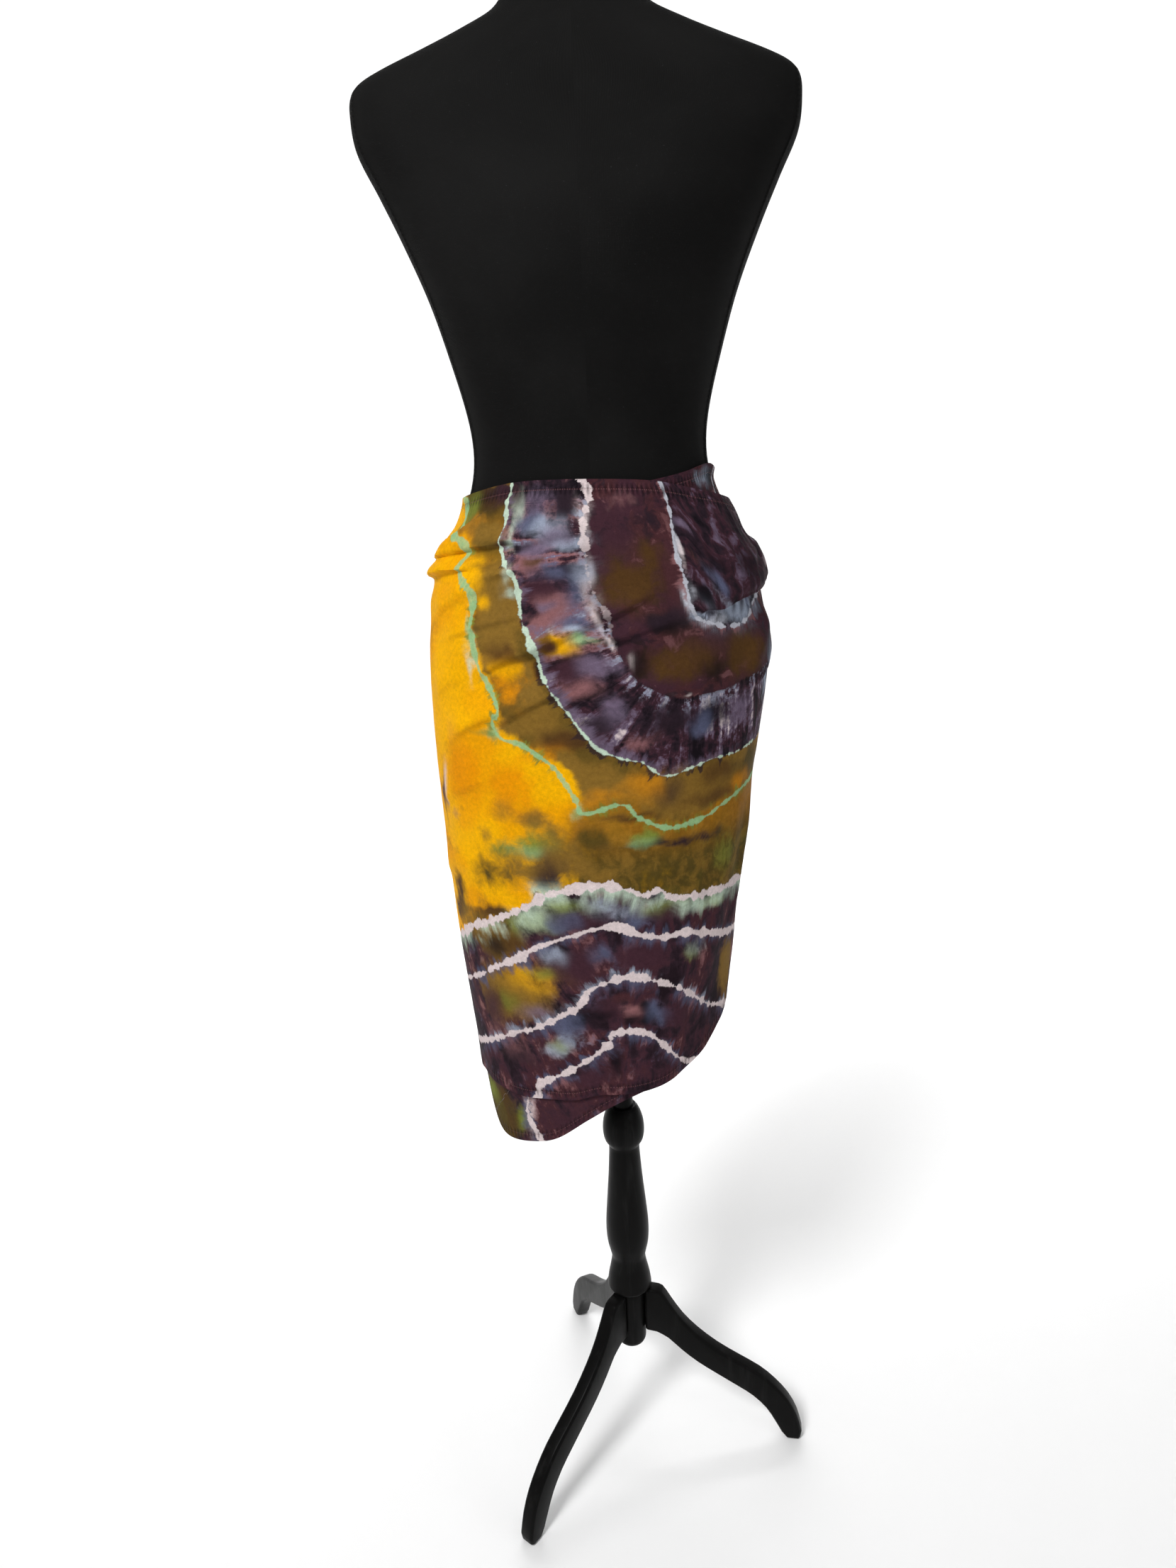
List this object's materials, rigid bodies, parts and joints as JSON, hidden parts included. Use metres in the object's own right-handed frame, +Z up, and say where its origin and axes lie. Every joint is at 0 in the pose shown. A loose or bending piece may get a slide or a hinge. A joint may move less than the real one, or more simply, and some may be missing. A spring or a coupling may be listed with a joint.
{
  "type": "half sarong on tripod dress form",
  "caption": "Short tie-dyed cloth wound and tucked as a wrap skirt on a black limbless dress form with a turned wooden tripod stand.",
  "frame": {"origin": "middle of the whole part's underside, on the floor between the three feet", "axes": "+Z up along the pole; -Y towards the front of the form; +X to the right as seen from the front, where the cloth is tucked in"},
  "size_m": [0.4152, 0.3662, 1.6],
  "materials": {
    "dyed_rayon": "thin plain-weave rayon, tie-dyed in golden yellow, ochre, plum and maroon-brown bands parted by white and mint lines",
    "jersey": "black fine-knit jersey cover, matte, stretched over foam",
    "painted_wood": "black satin paint",
    "painted_steel": "black satin paint"
  },
  "bodies": {
    "root": {"dress_form": "jersey", "turned_post": "painted_wood", "pole": "painted_steel", "leg_right": "painted_wood", "leg_back": "painted_wood", "leg_front": "painted_wood", "sarong_inner_front": "dyed_rayon", "sarong_back": "dyed_rayon", "sarong_outer_front": "dyed_rayon", "sarong_hip_fold": "dyed_rayon"}
  },
  "joints": []
}
